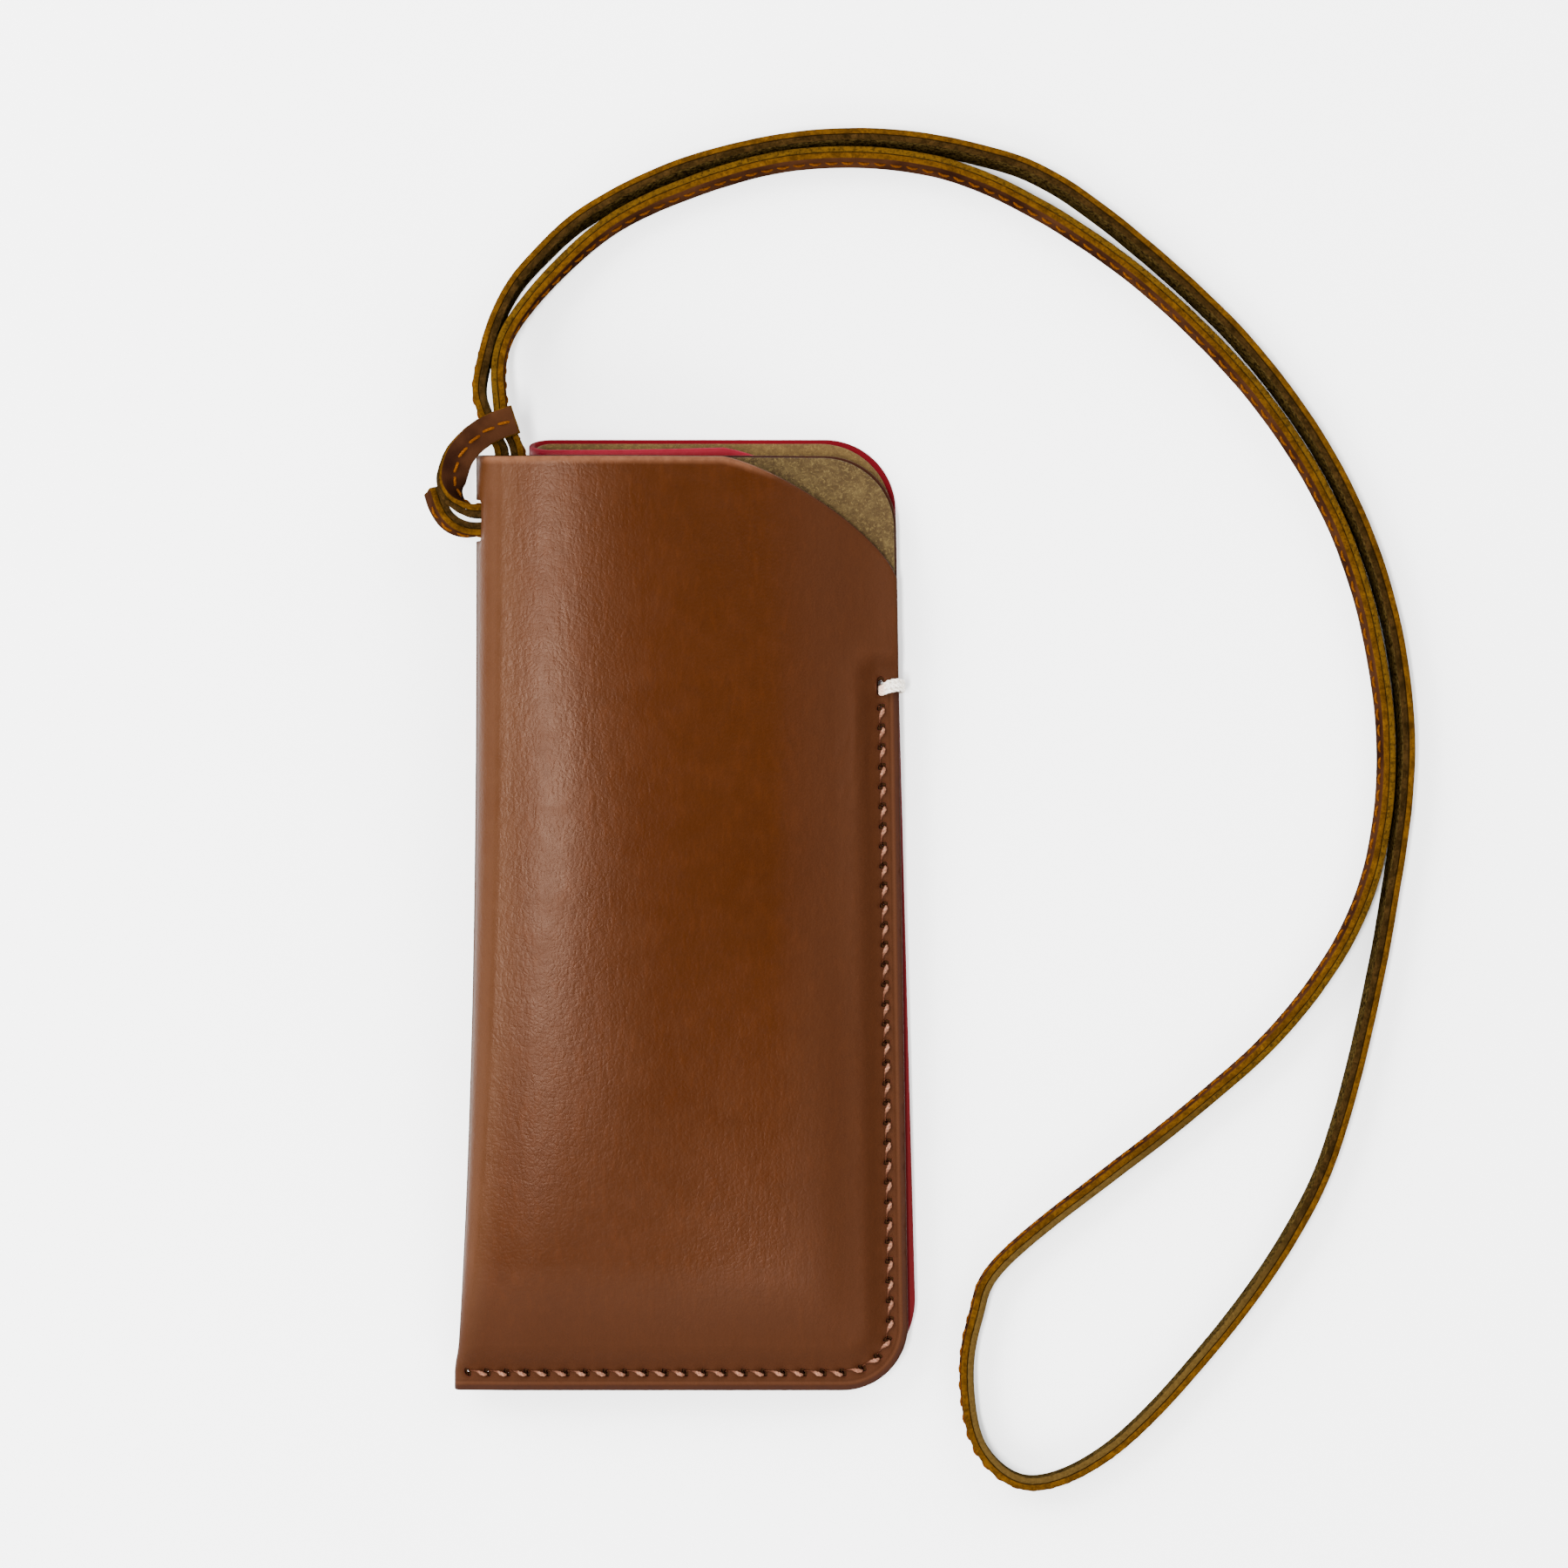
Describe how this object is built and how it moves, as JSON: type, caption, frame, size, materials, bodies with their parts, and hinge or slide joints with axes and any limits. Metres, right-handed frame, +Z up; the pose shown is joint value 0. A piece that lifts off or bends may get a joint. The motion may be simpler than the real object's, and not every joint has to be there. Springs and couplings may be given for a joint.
{
  "type": "sunglasses pouch",
  "caption": "Flat leather sleeve for sunglasses with two folded pockets, a stitched side and bottom, a scooped mouth and a neck lanyard.",
  "frame": {"origin": "middle of the pouch's footprint on the surface that it lies on, without the lanyard", "axes": "+X to the sewn side, +Y to the mouth, +Z up from the surface"},
  "size_m": [0.1808, 0.2492, 0.0201],
  "materials": {
    "brown_leather": "semi-matt saddle leather, fine grain",
    "tan_suede": "suede nap",
    "red_leather": "semi-matt dyed leather",
    "rear_suede": "suede nap",
    "seam_thread": "waxed thread",
    "tack_thread": "heavy twisted thread",
    "strap_grain": "smooth grain face with raw golden edges",
    "strap_backing": "rough flesh face with raw golden edges",
    "strap_thread": "twisted thread"
  },
  "bodies": {
    "root": {"front_pocket_leather": "brown_leather", "front_pocket_lining": "tan_suede", "rear_pocket_leather": "red_leather", "rear_pocket_lining": "rear_suede", "seam_thread_front": "seam_thread", "seam_thread_back": "seam_thread", "bar_tack_thread": "tack_thread", "lanyard_loop_grain_ply": "strap_grain", "lanyard_loop_backing_ply": "strap_backing", "lanyard_loop_thread": "strap_thread", "lanyard_upper_tail_grain_ply": "strap_grain", "lanyard_upper_tail_backing_ply": "strap_backing", "lanyard_upper_tail_thread": "strap_thread", "lanyard_lower_tail_grain_ply": "strap_grain", "lanyard_lower_tail_backing_ply": "strap_backing", "lanyard_lower_tail_thread": "strap_thread"}
  },
  "joints": []
}
